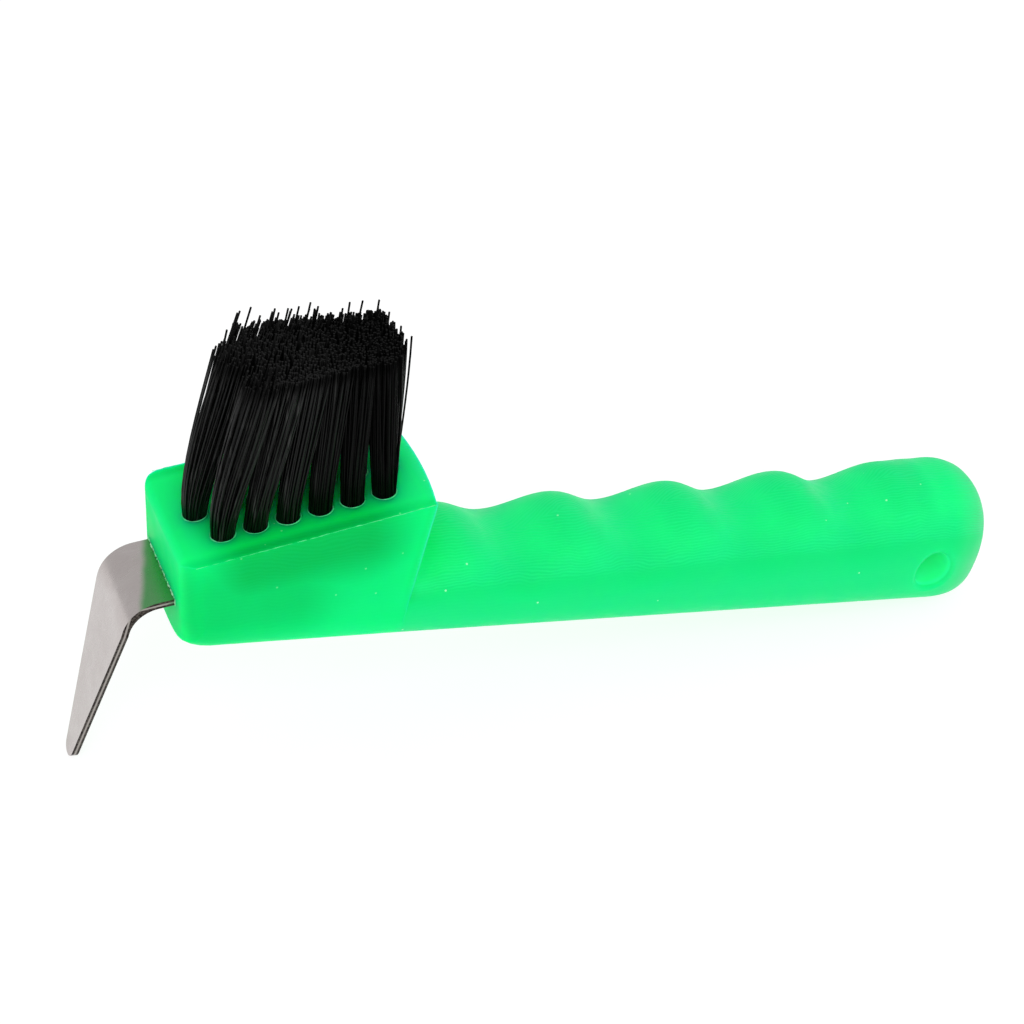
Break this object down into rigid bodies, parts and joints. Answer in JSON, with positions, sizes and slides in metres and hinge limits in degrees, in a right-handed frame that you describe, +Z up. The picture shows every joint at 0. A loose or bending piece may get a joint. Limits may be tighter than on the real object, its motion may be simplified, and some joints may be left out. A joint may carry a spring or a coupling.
{
  "type": "hoof pick",
  "caption": "Hoof pick with a bent tapered steel blade, a slanted block of stiff bristle tufts and a plastic grip with finger grooves and a hang hole.",
  "frame": {"origin": "middle of the bounding box's footprint, on the surface it stands on", "axes": "+Z up, the way the bristles point; +X along the grip, from the pick to the butt, as it runs over the table; Y across the grip. It stands on the pick's tip and the heel of the butt, so the grip slopes down toward +X."},
  "size_m": [0.1756, 0.0262, 0.0779],
  "materials": {
    "green_plastic": "satin, slightly translucent moulded plastic",
    "satin_steel": "satin rolled sheet with sheared edges",
    "black_nylon": "glossy drawn filament",
    "staple_wire": "plain flat wire"
  },
  "bodies": {
    "root": {"handle": "green_plastic", "pick_blade": "satin_steel", "tuft_front_1": "black_nylon", "tuft_front_2": "black_nylon", "tuft_front_3": "black_nylon", "tuft_front_4": "black_nylon", "tuft_front_5": "black_nylon", "tuft_front_6": "black_nylon", "tuft_middle_1": "black_nylon", "tuft_middle_2": "black_nylon", "tuft_middle_3": "black_nylon", "tuft_middle_4": "black_nylon", "tuft_middle_5": "black_nylon", "tuft_middle_6": "black_nylon", "tuft_middle_7": "black_nylon", "tuft_back_1": "black_nylon", "tuft_back_2": "black_nylon", "tuft_back_3": "black_nylon", "tuft_back_4": "black_nylon", "tuft_back_5": "black_nylon", "tuft_back_6": "black_nylon", "staple_front_1": "staple_wire", "staple_front_2": "staple_wire", "staple_front_3": "staple_wire", "staple_front_4": "staple_wire", "staple_front_5": "staple_wire", "staple_front_6": "staple_wire", "staple_middle_1": "staple_wire", "staple_middle_2": "staple_wire", "staple_middle_3": "staple_wire", "staple_middle_4": "staple_wire", "staple_middle_5": "staple_wire", "staple_middle_6": "staple_wire", "staple_middle_7": "staple_wire", "staple_back_1": "staple_wire", "staple_back_2": "staple_wire", "staple_back_3": "staple_wire", "staple_back_4": "staple_wire", "staple_back_5": "staple_wire", "staple_back_6": "staple_wire"}
  },
  "joints": []
}
